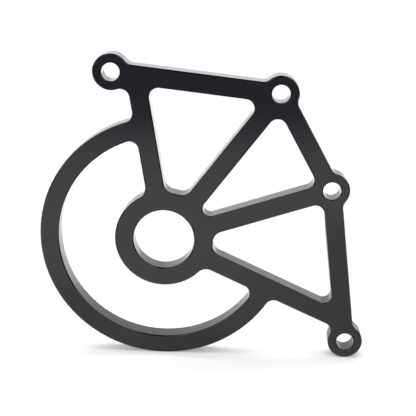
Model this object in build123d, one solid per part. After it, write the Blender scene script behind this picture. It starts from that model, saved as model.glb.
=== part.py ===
from build123d import *
import os

# Sprocket cover: one flat aluminium plate, milled through as an open web of bars.
# X runs to the right and Z up across the plate, and Y runs through it, front to back.
# The origin is the centre of the shaft bore, halfway through the plate. Sizes are in millimetres.

# Plate
plate_thickness = 7.0
edge_break = 0.4

# Inside corners: most of them, those where the spokes leave the hub, and the two narrowest, which are
# cut out further, between the second and third spokes and between the last spoke and the last bar
corner_radius = 3.4
hub_corner_radius = 4.3
tight_corner_radius = 2.9

# Hub round the shaft bore, and the open ring that guards the sprocket
bore_radius = 11.4
hub_wall = 7.0
ring_outer_radius = 46.6
ring_width = 7.0

# Bars, and the ears at their ends with the fixing holes
bar_width = 7.0
fixing_hole_radius = 3.3
ear_wall = 3.3

# Centres of the fixing holes, measured across and up from the shaft bore
top_left_across = -19.0
top_left_up = 62.7
top_right_across = 42.0
top_right_up = 56.0
middle_across = 61.9
middle_up = 20.4
bottom_across = 69.9
bottom_up = -40.0

# Where the first and last spokes meet their bars, measured along the bar from the nearer hole
first_spoke_offset = 8.9
last_spoke_offset = 8.2

# Sizes that follow from the ones above
hub_radius = bore_radius + hub_wall
ring_inner_radius = ring_outer_radius - ring_width
ear_radius = fixing_hole_radius + ear_wall
hub_centre = Vector(0, 0)
top_left_hole = Vector(top_left_across, top_left_up)
top_right_hole = Vector(top_right_across, top_right_up)
middle_hole = Vector(middle_across, middle_up)
bottom_hole = Vector(bottom_across, bottom_up)
fixing_holes = [top_left_hole, top_right_hole, middle_hole, bottom_hole]


def bar(start: Vector, end: Vector) -> Sketch:
    """Straight flat bar between two points, on its centre line."""
    return trace(Line(start, end), bar_width)


def along(start: Vector, end: Vector, distance: float) -> Vector:
    """Point that lies a distance from start towards end."""
    return start + (end - start).normalized() * distance


def guard_ring(first_end: Vector, last_end: Vector) -> Sketch:
    """Ring round the hub, cut away between the first spoke and the last one, where the web is."""
    reach = 2 * ring_outer_radius
    corners = [
        hub_centre,
        along(hub_centre, first_end, reach),
        Vector(reach, reach),
        along(hub_centre, last_end, reach),
    ]
    web_side = make_face(Polyline(*corners, close=True))
    return Circle(ring_outer_radius) - Circle(ring_inner_radius) - web_side


def rounded(sharp: Sketch, radius: float) -> Sketch:
    """Sketch with every inside corner filled to a radius."""
    return offset(offset(sharp, radius), -radius)


def between(meeting: Vector, first: Vector, second: Vector) -> Sketch:
    """Triangle between two bars, from the point where they meet to the middle of each."""
    corners = [meeting, (meeting + first) / 2, (meeting + second) / 2]
    return make_face(Polyline(*corners, close=True))


def outline() -> Sketch:
    """Plate outline without its holes, with every inside corner rounded as the milling cutter leaves it."""
    first_end = along(top_left_hole, top_right_hole, first_spoke_offset)
    last_end = along(bottom_hole, middle_hole, last_spoke_offset)
    spokes = [bar(hub_centre, end) for end in (first_end, top_right_hole, middle_hole, last_end)]
    rim_bars = [bar(start, end) for start, end in zip(fixing_holes, fixing_holes[1:])]
    ears = [Pos(centre) * Circle(ear_radius) for centre in fixing_holes]
    ring = guard_ring(first_end, last_end)
    hub_web = Sketch() + [Circle(hub_radius), *spokes]
    sharp = hub_web + [ring, *rim_bars, *ears]
    narrow = Sketch() + [
        between(hub_centre, top_right_hole, middle_hole),
        between(last_end, hub_centre, middle_hole),
    ]
    wide_corners = rounded(sharp, corner_radius) + rounded(hub_web, hub_corner_radius)
    narrow_corners = rounded(sharp, tight_corner_radius) & narrow
    return wide_corners - narrow + narrow_corners


def sprocket_cover() -> Part:
    """The finished plate, standing upright, with its edges broken on both faces."""
    holes = [Circle(bore_radius)] + [Pos(centre) * Circle(fixing_hole_radius) for centre in fixing_holes]
    profile = outline() - holes
    plate = extrude(Plane.XZ * profile, plate_thickness / 2, both=True)
    broad_faces = plate.faces().filter_by(Axis.Y)
    return chamfer(broad_faces.edges(), edge_break)


os.makedirs("parts", exist_ok=True)
export_step(sprocket_cover(), "parts/sprocket_cover.step")
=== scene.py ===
"""Looks of a motorcycle sprocket cover, one flat plate of black anodised aluminium milled as an open web.

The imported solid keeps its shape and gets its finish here. A pale paper sweep, one soft lamp, panels that only
gloss shows and a camera go round it. Lengths are in metres and angles in degrees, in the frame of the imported
part: X to the right, Y into the picture and Z up.
"""

import logging
import math
from dataclasses import dataclass, field
from enum import Enum, IntEnum
from typing import Any

import bmesh
import bpy
from mathutils import Matrix, Vector


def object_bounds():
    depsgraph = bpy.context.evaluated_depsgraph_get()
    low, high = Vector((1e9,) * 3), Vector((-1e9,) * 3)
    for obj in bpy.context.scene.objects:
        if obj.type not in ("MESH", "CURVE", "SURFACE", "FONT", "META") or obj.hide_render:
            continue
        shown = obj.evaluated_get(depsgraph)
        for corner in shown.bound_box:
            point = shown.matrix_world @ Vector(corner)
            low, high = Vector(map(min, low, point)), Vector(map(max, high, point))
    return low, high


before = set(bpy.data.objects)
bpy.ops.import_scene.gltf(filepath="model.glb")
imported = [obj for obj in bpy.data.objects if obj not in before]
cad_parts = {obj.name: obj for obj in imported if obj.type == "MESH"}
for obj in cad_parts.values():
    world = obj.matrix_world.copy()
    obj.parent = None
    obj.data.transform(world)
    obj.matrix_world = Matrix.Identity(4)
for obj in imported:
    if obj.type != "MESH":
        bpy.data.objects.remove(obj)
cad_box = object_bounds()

MM = 0.001
PLATE = "sprocket_cover"
WHITE = "#ffffff"

Tree = bpy.types.NodeTree
Socket = bpy.types.NodeSocket
Point = tuple[float, float, float]

log = logging.getLogger("sprocket_cover")


class Axis(Enum):
    """Axis of an object that a value changes along."""

    X = "X"
    Y = "Y"
    Z = "Z"


class Facing(Enum):
    """Way that a panel of the studio faces."""

    UP = (0, 0, 1)
    DOWN_AND_BACK = (0, 0.3, -1)
    LEFT = (-1, 0, 0)
    RIGHT = (1, 0, 0)
    FRONT = (0, -1, 0)


class MixInput(IntEnum):
    """Number of each input of a Mix node, because its names repeat for numbers and colours."""

    FACTOR = 0
    FIRST_NUMBER = 2
    SECOND_NUMBER = 3
    FIRST_COLOUR = 6
    SECOND_COLOUR = 7


class MixOutput(IntEnum):
    """Number of each output of a Mix node."""

    NUMBER = 0
    COLOUR = 2


def linear(code: str) -> tuple[float, float, float, float]:
    """Turns an sRGB hex code into the linear colour that a shader reads.

    Args:
        code: Colour as "#rrggbb".

    Returns:
        Red, green, blue and an alpha of one.
    """
    channels = [int(code[i:i + 2], 16) / 255 for i in (1, 3, 5)]
    red, green, blue = (c / 12.92 if c <= 0.04045 else ((c + 0.055) / 1.055) ** 2.4 for c in channels)
    return red, green, blue, 1.0


def add_node(
    tree: Tree,
    kind: str,
    settings: dict[str, Any] | None = None,
    values: dict[str | int, Any] | None = None,
    links: dict[str | int, Socket] | None = None,
) -> bpy.types.Node:
    """Adds one shader node with its settings, its fixed inputs and its links.

    Args:
        tree: Node tree that takes the node.
        kind: Type name of the node.
        settings: Attributes of the node, by name.
        values: Fixed values of its inputs, by name or number.
        links: Sockets that feed its inputs, by name or number.

    Returns:
        The new node.
    """
    node = tree.nodes.new(kind)
    for name, value in (settings or {}).items():
        setattr(node, name, value)
    for name, value in (values or {}).items():
        node.inputs[name].default_value = value
    for name, socket in (links or {}).items():
        tree.links.new(socket, node.inputs[name])
    return node


def new_material(name: str) -> bpy.types.Material:
    """Makes a material whose node tree is still empty.

    Args:
        name: Name of the material.

    Returns:
        The new material.
    """
    made = bpy.data.materials.new(name)
    made.use_nodes = True
    made.node_tree.nodes.clear()
    return made


def new_object(name: str, shape: bmesh.types.BMesh) -> bpy.types.Object:
    """Turns a finished bmesh into an object at the origin.

    Args:
        name: Name of the object and its mesh.
        shape: The mesh, which is freed.

    Returns:
        The linked object.
    """
    mesh = bpy.data.meshes.new(name)
    shape.to_mesh(mesh)
    shape.free()
    obj = bpy.data.objects.new(name, mesh)
    bpy.context.scene.collection.objects.link(obj)
    return obj


def weighted_sum(tree: Tree, terms: list[tuple[Socket, float]]) -> Socket:
    """Adds sockets up, each with its own weight.

    Args:
        tree: Node tree that takes the nodes.
        terms: Sockets and their weights.

    Returns:
        The sum.
    """
    total = None
    for socket, weight in terms:
        values = {1: weight, 2: 0.0}
        links = {0: socket} if total is None else {0: socket, 2: total}
        total = add_node(tree, "ShaderNodeMath", {"operation": "MULTIPLY_ADD"}, values, links).outputs[0]
    return total


def product(tree: Tree, first: Socket, *others: Socket) -> Socket:
    """Multiplies sockets.

    Args:
        tree: Node tree that takes the nodes.
        first: The first socket.
        others: The sockets that multiply it.

    Returns:
        The product.
    """
    total = first
    for other in others:
        links = {0: total, 1: other}
        total = add_node(tree, "ShaderNodeMath", {"operation": "MULTIPLY"}, links=links).outputs[0]
    return total


def ramp(tree: Tree, axis: Axis, start: float, end: float, first: float = 0.0, last: float = 1.0) -> Socket:
    """Changes smoothly from one value to another along an axis of the object.

    Args:
        tree: Node tree that takes the nodes.
        axis: The axis.
        start: Place where the change starts.
        end: Place where it ends.
        first: Value before the start.
        last: Value past the end.

    Returns:
        The changing value.
    """
    place = add_node(tree, "ShaderNodeTexCoord").outputs["Object"]
    along = add_node(tree, "ShaderNodeSeparateXYZ", links={"Vector": place}).outputs[axis.value]
    values = {"From Min": start, "From Max": end, "To Min": first, "To Max": last}
    smooth = {"interpolation_type": "SMOOTHSTEP"}
    return add_node(tree, "ShaderNodeMapRange", smooth, values, {"Value": along}).outputs["Result"]


@dataclass(frozen=True)
class BlackAnodisedAluminium:
    """Milled aluminium plate, blasted on its faces, under a black dyed anodic film.

    The film is hard, glassy and about a hundredth of a millimetre thick. To the eye the plate is nearly
    black, and mirrors its surroundings softly at a steep angle and strongly at a grazing one. Its faces are
    an even satin, and on its walls the cutter's marks show through the film.
    """

    # Reflection of the film seen straight on, where it took less of the dye and where it took more
    film_light: str = "#414143"
    film_dark: str = "#3d3d3f"

    # Roughness in the middle of its range, and how far it goes each way
    face_roughness: float = 0.13
    face_spread: float = 0.04
    wall_roughness: float = 0.19
    wall_spread: float = 0.05

    # Half the plate, its broken edge, and the share of that edge, next to the face, that counts as face
    half_thickness: float = 3.5 * MM
    edge_break: float = 0.4 * MM
    face_margin: float = 0.1

    # The cutter leaves streaks along the walls, and its feed leaves lines across them. On such a part these
    # are a few tenths of a millimetre apart at most, and micrometres deep. A pixel of the picture is 0.37 mm,
    # so they are drawn coarser and deeper, as far as they need to show.
    cutter_pass: float = 1.3 * MM
    pass_length: float = 60.0 * MM
    cutter_chatter: float = 0.9 * MM
    chatter_height: float = 40.0 * MM
    chatter_share: float = 0.6
    cutter_detail: float = 3.0
    cut_depth: float = 0.06 * MM

    # Blasting leaves a grain of about 0.1 mm, which is drawn about as coarse as a pixel so that it shows
    blast_grain: float = 0.35 * MM
    grain_detail: float = 2.0
    grain_share: float = 0.15

    # The dye takes a little unevenly, in soft patches about three bars wide
    dye_patch: float = 22.0 * MM
    dye_detail: float = 3.0

    def material(self) -> bpy.types.Material:
        """Builds the material, with every pattern on Object coordinates.

        Returns:
            The finished material.
        """
        made = new_material("black_anodised_aluminium")
        tree = made.node_tree
        place = add_node(tree, "ShaderNodeTexCoord").outputs["Object"]
        on_wall = self._wall_mask(tree, place)
        passes = self._cutter_marks(tree, place, along=self.pass_length, across=self.cutter_pass)
        chatter = self._cutter_marks(tree, place, along=self.cutter_chatter, across=self.chatter_height)
        solid = {"noise_dimensions": "3D"}
        fine = {"Scale": 1 / self.blast_grain, "Detail": self.grain_detail}
        grain = add_node(tree, "ShaderNodeTexNoise", solid, fine, {"Vector": place}).outputs[0]
        broad = {"Scale": 1 / self.dye_patch, "Detail": self.dye_detail}
        patches = add_node(tree, "ShaderNodeTexNoise", solid, broad, {"Vector": place}).outputs[0]
        links = {MixInput.FACTOR: on_wall, MixInput.FIRST_NUMBER: patches, MixInput.SECOND_NUMBER: passes}
        lightness = add_node(tree, "ShaderNodeMix", {"data_type": "FLOAT"}, links=links)
        dark, light = linear(self.film_dark), linear(self.film_light)
        tones = {MixInput.FIRST_COLOUR: dark, MixInput.SECOND_COLOUR: light}
        links = {MixInput.FACTOR: lightness.outputs[MixOutput.NUMBER]}
        colour = add_node(tree, "ShaderNodeMix", {"data_type": "RGBA"}, tones, links)
        roughness = self._roughness(tree, on_wall, passes, grain)
        normal = self._relief(tree, on_wall, passes, chatter, grain)
        links = {"Base Color": colour.outputs[MixOutput.COLOUR], "Roughness": roughness, "Normal": normal}
        shader = add_node(tree, "ShaderNodeBsdfPrincipled", values={"Metallic": 1.0}, links=links)
        add_node(tree, "ShaderNodeOutputMaterial", links={"Surface": shader.outputs[0]})
        return made

    def _wall_mask(self, tree: Tree, place: Socket) -> Socket:
        """Gives one on the milled walls and zero on the two flat faces, and changes on the broken edge.

        Args:
            tree: Node tree of the material.
            place: Object coordinates.

        Returns:
            The mask.
        """
        depth = add_node(tree, "ShaderNodeSeparateXYZ", links={"Vector": place}).outputs["Y"]
        away = add_node(tree, "ShaderNodeMath", {"operation": "ABSOLUTE"}, links={0: depth}).outputs[0]
        values = {
            "From Min": self.half_thickness - self.edge_break,
            "From Max": self.half_thickness - self.face_margin * self.edge_break,
            "To Min": 1.0,
            "To Max": 0.0,
        }
        smooth = {"interpolation_type": "SMOOTHSTEP"}
        return add_node(tree, "ShaderNodeMapRange", smooth, values, {"Value": away}).outputs["Result"]

    def _cutter_marks(self, tree: Tree, place: Socket, along: float, across: float) -> Socket:
        """Adds noise whose marks have one length in the plane of the plate and another through it.

        Args:
            tree: Node tree of the material.
            place: Object coordinates.
            along: Length of a mark in the plane of the plate.
            across: Length of a mark through the plate.

        Returns:
            The noise, from zero to one.
        """
        scale = {"Scale": (1 / along, 1 / across, 1 / along)}
        scaled = add_node(tree, "ShaderNodeMapping", values=scale, links={"Vector": place}).outputs[0]
        values = {"Scale": 1.0, "Detail": self.cutter_detail}
        solid = {"noise_dimensions": "3D"}
        return add_node(tree, "ShaderNodeTexNoise", solid, values, {"Vector": scaled}).outputs[0]

    def _roughness(self, tree: Tree, on_wall: Socket, passes: Socket, grain: Socket) -> Socket:
        """Makes the faces satin and the walls a little rougher, streaked along the cutter's passes.

        Args:
            tree: Node tree of the material.
            on_wall: Mask of the walls.
            passes: Pattern of the cutter's passes.
            grain: Pattern of the blasted grain.

        Returns:
            The roughness.
        """
        ranges = []
        for middle, spread, pattern in (
            (self.wall_roughness, self.wall_spread, passes),
            (self.face_roughness, self.face_spread, grain),
        ):
            values = {"To Min": middle - spread, "To Max": middle + spread}
            ranges.append(add_node(tree, "ShaderNodeMapRange", values=values, links={"Value": pattern}))
        wall, face = (node.outputs["Result"] for node in ranges)
        links = {MixInput.FACTOR: on_wall, MixInput.FIRST_NUMBER: face, MixInput.SECOND_NUMBER: wall}
        mixed = add_node(tree, "ShaderNodeMix", {"data_type": "FLOAT"}, links=links)
        return mixed.outputs[MixOutput.NUMBER]

    def _relief(self, tree: Tree, on_wall: Socket, passes: Socket, chatter: Socket, grain: Socket) -> Socket:
        """Adds the shallow relief of the cutter on the walls and of the grain on the faces.

        Both have the same mean height, so that the broken edges between them keep their angle.

        Args:
            tree: Node tree of the material.
            on_wall: Mask of the walls.
            passes: Pattern of the cutter's passes.
            chatter: Pattern of the cutter's chatter, across the passes.
            grain: Pattern of the blasted grain.

        Returns:
            The bumped normal.
        """
        add = {"operation": "MULTIPLY_ADD"}
        values = {1: self.chatter_share}
        cut = add_node(tree, "ShaderNodeMath", add, values, {0: chatter, 2: passes}).outputs[0]
        level = (1 + self.chatter_share - self.grain_share) / 2
        values = {1: self.grain_share, 2: level}
        fine = add_node(tree, "ShaderNodeMath", add, values, {0: grain}).outputs[0]
        links = {MixInput.FACTOR: on_wall, MixInput.FIRST_NUMBER: fine, MixInput.SECOND_NUMBER: cut}
        height = add_node(tree, "ShaderNodeMix", {"data_type": "FLOAT"}, links=links)
        values = {"Strength": 1.0, "Distance": self.cut_depth}
        links = {"Height": height.outputs[MixOutput.NUMBER]}
        return add_node(tree, "ShaderNodeBump", values=values, links=links).outputs[0]


@dataclass
class SprocketCover:
    """The plate itself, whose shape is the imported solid's."""

    node: str = PLATE
    finish: BlackAnodisedAluminium = field(default_factory=BlackAnodisedAluminium)

    def dress(self) -> bpy.types.Object:
        """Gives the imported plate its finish.

        Returns:
            The dressed plate.
        """
        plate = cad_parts[self.node]
        made = self.finish.material()
        for slot in plate.material_slots:
            slot.material = made
        return plate


@dataclass(frozen=True)
class WhitePaper:
    """Matt white photographic paper, an even white in the picture under the cover's own shadow.

    It glows a little where it is seen, more towards the horizon, and less beside what touches it, which is a
    painted contact shadow. Gloss mirrors it lighter behind the cover and to its right, and further back: a pool
    of light painted into its glow, as if a lamp spilled light there.
    """

    tint: str = "#e7e7e7"

    # Glow where the paper is seen: in front of the cover, behind it, and added towards the horizon
    glow_near: float = 0.4
    glow_far: float = 0.12
    glow_start: float = 0 * MM
    glow_end: float = 60 * MM
    horizon_glow: float = 0.4
    horizon_near: float = 0.7
    horizon_far: float = 2.2

    # Share of the first two that is left right beside what touches the paper, a painted contact shadow
    contact_glow: float = 0.7
    contact_reach: float = 6 * MM
    contact_samples: int = 16

    # Glow that gloss mirrors: everywhere, and a painted pool of light behind the cover and to its right, and
    # further back
    glow_mirrored: float = 0.2
    painted_spill: float = 0.65
    spill_near: float = 60 * MM
    spill_far: float = 160 * MM
    spill_left: float = -150 * MM
    spill_right: float = -20 * MM
    painted_spill_beyond: float = 0.3
    beyond_near: float = 400 * MM
    beyond_far: float = 700 * MM

    def material(self, name: str) -> bpy.types.Material:
        """Builds the paper's material.

        Args:
            name: Name of the material.

        Returns:
            The finished material.
        """
        made = new_material(name)
        tree = made.node_tree
        paper = add_node(tree, "ShaderNodeBsdfDiffuse", values={"Color": linear(self.tint)}).outputs[0]
        path = add_node(tree, "ShaderNodeLightPath").outputs
        gloss = path["Is Glossy Ray"]
        seen = weighted_sum(tree, [(path["Is Camera Ray"], 1.0), (path["Is Transmission Ray"], 1.0)])
        # Painted contact shadow: less of the seen glow right beside what touches the paper
        contact_shadow_share = self._painted_contact_shadow(tree)
        glow = ramp(tree, Axis.Y, self.glow_start, self.glow_end, self.glow_near, self.glow_far)
        shown = product(tree, seen, contact_shadow_share, glow)
        # Painted pool of light that only gloss mirrors: behind the cover, to its right, and further back
        behind = ramp(tree, Axis.Y, self.spill_near, self.spill_far)
        beside = ramp(tree, Axis.X, self.spill_left, self.spill_right)
        painted_spill = product(tree, gloss, behind, beside)
        beyond = product(tree, gloss, ramp(tree, Axis.Y, self.beyond_near, self.beyond_far))
        horizon = product(tree, seen, self._distant(tree))
        level = weighted_sum(tree, [
            (shown, 1.0),
            (gloss, self.glow_mirrored),
            (painted_spill, self.painted_spill),
            (beyond, self.painted_spill_beyond),
            (horizon, self.horizon_glow),
        ])
        values = {"Color": linear(WHITE)}
        light = add_node(tree, "ShaderNodeEmission", values=values, links={"Strength": level}).outputs[0]
        both = add_node(tree, "ShaderNodeAddShader", links={0: paper, 1: light}).outputs[0]
        add_node(tree, "ShaderNodeOutputMaterial", links={"Surface": both})
        return made

    def _painted_contact_shadow(self, tree: Tree) -> Socket:
        """Gives one on open paper, and less right beside what touches it, which paints a contact shadow.

        Args:
            tree: Node tree of the material.

        Returns:
            The share of the glow that is left.
        """
        samples = {"samples": self.contact_samples}
        sky = add_node(tree, "ShaderNodeAmbientOcclusion", samples, {"Distance": self.contact_reach})
        values = {"To Min": self.contact_glow, "To Max": 1.0}
        share = add_node(tree, "ShaderNodeMapRange", values=values, links={"Value": sky.outputs["AO"]})
        return share.outputs["Result"]

    def _distant(self, tree: Tree) -> Socket:
        """Rises from zero near the cover to one at the horizon.

        Args:
            tree: Node tree of the material.

        Returns:
            The share of the horizon's glow.
        """
        place = add_node(tree, "ShaderNodeTexCoord").outputs["Object"]
        away = add_node(tree, "ShaderNodeVectorMath", {"operation": "LENGTH"}, links={0: place})
        values = {"From Min": self.horizon_near, "From Max": self.horizon_far}
        smooth = {"interpolation_type": "SMOOTHSTEP"}
        links = {"Value": away.outputs["Value"]}
        return add_node(tree, "ShaderNodeMapRange", smooth, values, links).outputs["Result"]


@dataclass(frozen=True)
class Fade:
    """A change of tone along one axis, from a first tone to the panel's own."""

    axis: Axis
    start: float
    end: float
    first_tone: str


@dataclass(frozen=True)
class StudioTone:
    """An even or fading tone of a backdrop or panel, with one strength in gloss and one where it is seen."""

    tone: str
    strength: float = 1.0
    seen: float = 1.0
    fade: Fade | None = None

    def material(self, name: str) -> bpy.types.Material:
        """Builds the tone's material.

        Args:
            name: Name of the material.

        Returns:
            The finished material.
        """
        made = new_material(name)
        tree = made.node_tree
        mirrored = add_node(tree, "ShaderNodeLightPath").outputs["Is Glossy Ray"]
        values = {"To Min": self.seen, "To Max": self.strength}
        level = add_node(tree, "ShaderNodeMapRange", values=values, links={"Value": mirrored})
        links = {"Strength": level.outputs["Result"]}
        light = add_node(tree, "ShaderNodeEmission", values={"Color": linear(self.tone)}, links=links)
        if self.fade:
            change = ramp(tree, self.fade.axis, self.fade.start, self.fade.end)
            first, last = linear(self.fade.first_tone), linear(self.tone)
            tones = {MixInput.FIRST_COLOUR: first, MixInput.SECOND_COLOUR: last}
            mixed = add_node(tree, "ShaderNodeMix", {"data_type": "RGBA"}, tones, {MixInput.FACTOR: change})
            tree.links.new(mixed.outputs[MixOutput.COLOUR], light.inputs["Color"])
        add_node(tree, "ShaderNodeOutputMaterial", links={"Surface": light.outputs[0]})
        return made


@dataclass(frozen=True)
class Panel:
    """A panel that only gloss shows: dark cloth, a dark sheet or painted shade lying on the table, or a bright
    one.
    """

    name: str
    centre: Point
    size: tuple[float, float]
    faces: Facing
    tone: str = "#46464a"
    strength: float = 1.0
    fade: Fade | None = None

    def build(self) -> bpy.types.Object:
        """Builds the panel, turned the way that it faces.

        Returns:
            The panel.
        """
        shape = bmesh.new()
        bmesh.ops.create_grid(shape, x_segments=1, y_segments=1, size=0.5)
        turn = Vector(self.faces.value).to_track_quat("Z", "Y").to_matrix().to_4x4()
        stretch = Matrix.Diagonal((*self.size, 1.0, 1.0))
        bmesh.ops.transform(shape, matrix=Matrix.Translation(self.centre) @ turn @ stretch, verts=shape.verts)
        panel = new_object(self.name, shape)
        tone = StudioTone(self.tone, self.strength, fade=self.fade)
        panel.data.materials.append(tone.material(self.name))
        panel.visible_camera = False
        panel.visible_diffuse = False
        panel.visible_transmission = False
        panel.visible_shadow = False
        return panel


@dataclass
class Studio:
    """A pale paper sweep on a table, one soft lamp above it, and panels out of the picture."""

    floor_height: float
    floor_half: float = 3.0

    # The paper that rises behind the cover, from just above the floor's, and its strength in gloss and seen
    backdrop_distance: float = 1.0
    backdrop_lift: float = 1 * MM
    backdrop_bend: float = 0.3
    bend_steps: int = 12
    backdrop_height: float = 2.0
    backdrop_tone: str = "#fffefb"
    backdrop_light: float = 1.38
    backdrop_seen: float = 1.04

    # How far the panels on the table lie above the paper, and the strength of the bright one behind
    panel_lift: float = 0.5 * MM
    rim_light: float = 1.85

    # The lamp hangs a little behind the cover and to its left, tilted forward
    lamp_power: float = 48.0
    lamp_size: tuple[float, float] = (2.4, 2.0)
    lamp_place: Point = (-0.3, 0.35, 2.4)
    lamp_tilt: float = -9.0
    ambient: float = 0.55

    def build(self) -> list[bpy.types.Object]:
        """Builds the floor, the backdrop, the panels, the lamp and the surroundings.

        Returns:
            Everything that stands or hangs in the studio.
        """
        placed = [self.floor(), self.backdrop()]
        placed += [panel.build() for panel in self.panels()]
        placed.append(self.lamp())
        self.surroundings()
        return placed

    def floor(self) -> bpy.types.Object:
        """Builds the flat paper that the cover stands on.

        Returns:
            The floor.
        """
        shape = bmesh.new()
        bmesh.ops.create_grid(shape, x_segments=1, y_segments=1, size=self.floor_half)
        bmesh.ops.translate(shape, vec=(0, 0, self.floor_height), verts=shape.verts)
        paper = new_object("floor", shape)
        paper.data.materials.append(WhitePaper().material("floor_paper"))
        return paper

    def backdrop(self) -> bpy.types.Object:
        """Builds the paper that rises behind the cover in one bend.

        Returns:
            The backdrop.
        """
        shape = bmesh.new()
        start = self.floor_height + self.backdrop_lift
        row = [shape.verts.new((side * self.floor_half, self.backdrop_distance, start)) for side in (-1, 1)]
        edge = shape.edges.new(row)
        centre = (0, self.backdrop_distance, start + self.backdrop_bend)
        bent = bmesh.ops.spin(shape, geom=[*row, edge], cent=centre, axis=(1, 0, 0), angle=math.radians(90),
                              steps=self.bend_steps, use_merge=False)
        last = [e for e in bent["geom_last"] if isinstance(e, bmesh.types.BMEdge)]
        wall = bmesh.ops.extrude_edge_only(shape, edges=last)
        top = [v for v in wall["geom"] if isinstance(v, bmesh.types.BMVert)]
        bmesh.ops.translate(shape, vec=(0, 0, self.backdrop_height), verts=top)
        paper = new_object("backdrop", shape)
        tone = StudioTone(self.backdrop_tone, self.backdrop_light, self.backdrop_seen)
        paper.data.materials.append(tone.material("backdrop_paper"))
        paper.visible_diffuse = False
        paper.visible_shadow = False
        return paper

    def panels(self) -> list[Panel]:
        """Plans the panels on the table, at both sides, overhead and behind.

        Returns:
            The panels, still to be built.
        """
        table = self.floor_height + self.panel_lift
        return [
            # The table is in painted shade further forward, which the faces show towards the top of the plate
            Panel("painted_shade_front", centre=(0, -1.25, table), size=(4.0, 2.0), faces=Facing.UP,
                  tone="#9597a6", fade=Fade(Axis.Y, -0.335, -0.405, WHITE)),
            # Pale sheets of painted shade on it grey what the faces show at the lower right and at the ring's
            # lower left
            Panel("painted_shade_right", centre=(0.076, -0.005, table), size=(0.092, 0.31), faces=Facing.UP,
                  tone="#dfdfe3", fade=Fade(Axis.X, 0.03, 0.122, "#fbfbfd")),
            Panel("painted_shade_left", centre=(-0.05, -0.043, table), size=(0.07, 0.046), faces=Facing.UP,
                  tone="#efeff2"),
            # A dark sheet on the table to the right, and dark cloth at both sides and overhead, show in the
            # broken edges
            Panel("flag_right_table", centre=(1.122, -0.129, table), size=(2.0, 0.242), faces=Facing.UP),
            Panel("flag_right", centre=(0.5, -0.05, table + 0.09), size=(1.0, 0.18), faces=Facing.LEFT),
            Panel("flag_left", centre=(-0.5, -0.05, table + 0.11), size=(1.0, 0.14), faces=Facing.RIGHT),
            Panel("flag_above", centre=(0.02, -0.2, 0.65), size=(0.28, 0.36), faces=Facing.DOWN_AND_BACK),
            # A panel behind, brighter than the backdrop, shows in the walls that face up
            Panel("rim_panel", centre=(-0.02, 0.8, 0.2), size=(0.42, 0.16), faces=Facing.FRONT,
                  tone="#e3e2df", strength=self.rim_light, fade=Fade(Axis.Z, 0.17, 0.25, "#faffff")),
        ]

    def lamp(self) -> bpy.types.Object:
        """Hangs one wide soft lamp over the table, which gloss does not show.

        Returns:
            The lamp.
        """
        light = bpy.data.lights.new("soft_lamp", "AREA")
        light.shape = "RECTANGLE"
        light.size, light.size_y = self.lamp_size
        light.energy = self.lamp_power
        lamp = bpy.data.objects.new("soft_lamp", light)
        tilt = Matrix.Rotation(math.radians(self.lamp_tilt), 4, "X")
        lamp.matrix_world = Matrix.Translation(self.lamp_place) @ tilt
        lamp.visible_glossy = False
        bpy.context.scene.collection.objects.link(lamp)
        return lamp

    def surroundings(self) -> bpy.types.World:
        """Makes the air round the table white where it is seen and plain where it only lights.

        Returns:
            The world.
        """
        world = bpy.data.worlds.new("studio")
        world.use_nodes = True
        tree = world.node_tree
        tree.nodes.clear()
        path = add_node(tree, "ShaderNodeLightPath").outputs
        rays = ("Is Camera Ray", "Is Glossy Ray", "Is Transmission Ray")
        seen = weighted_sum(tree, [(path[name], 1.0) for name in rays])
        values = {"To Min": self.ambient, "To Max": 1.0}
        strength = add_node(tree, "ShaderNodeMapRange", values=values, links={"Value": seen})
        links = {"Strength": strength.outputs["Result"]}
        air = add_node(tree, "ShaderNodeBackground", values={"Color": linear(WHITE)}, links=links)
        add_node(tree, "ShaderNodeOutputWorld", links={"Surface": air.outputs[0]})
        bpy.context.scene.world = world
        return world


@dataclass(frozen=True)
class Viewpoint:
    """The photograph's viewing angle, as an orbit round a point of the plate."""

    target: Point = (16.441 * MM, -3.172 * MM, 12.72 * MM)
    distance: float = 352.5 * MM
    azimuth: float = 2.089
    elevation: float = 17.9
    roll: float = 0.778

    # Focal length and sensor width, which the camera takes in millimetres
    lens: float = 82.305
    sensor: float = 36.0

    def build(self) -> bpy.types.Object:
        """Sets up the camera and makes it the scene's own.

        Returns:
            The camera.
        """
        around, up = math.radians(self.azimuth), math.radians(self.elevation)
        out = Vector((math.sin(around) * math.cos(up), -math.cos(around) * math.cos(up), math.sin(up)))
        data = bpy.data.cameras.new("camera")
        data.lens = self.lens
        data.sensor_width = self.sensor
        camera = bpy.data.objects.new("camera", data)
        turn = out.to_track_quat("Z", "Y").to_matrix().to_4x4()
        lean = Matrix.Rotation(math.radians(self.roll), 4, "Z")
        camera.matrix_world = Matrix.Translation(Vector(self.target) + out * self.distance) @ turn @ lean
        bpy.context.scene.collection.objects.link(camera)
        bpy.context.scene.camera = camera
        return camera


def main() -> None:
    """Dresses the cover, then builds the studio and the camera round it."""
    logging.basicConfig(level=logging.INFO, format="%(name)s: %(message)s")
    plate = SprocketCover().dress()
    log.info("%s dressed with %s", plate.name, plate.material_slots[0].material.name)
    for piece in Studio(floor_height=cad_box[0][2]).build():
        log.info("%s in place", piece.name)
    camera = Viewpoint().build()
    log.info("%s in place", camera.name)
    bpy.context.scene.view_settings.view_transform = "Standard"


if __name__ == "__main__":
    main()
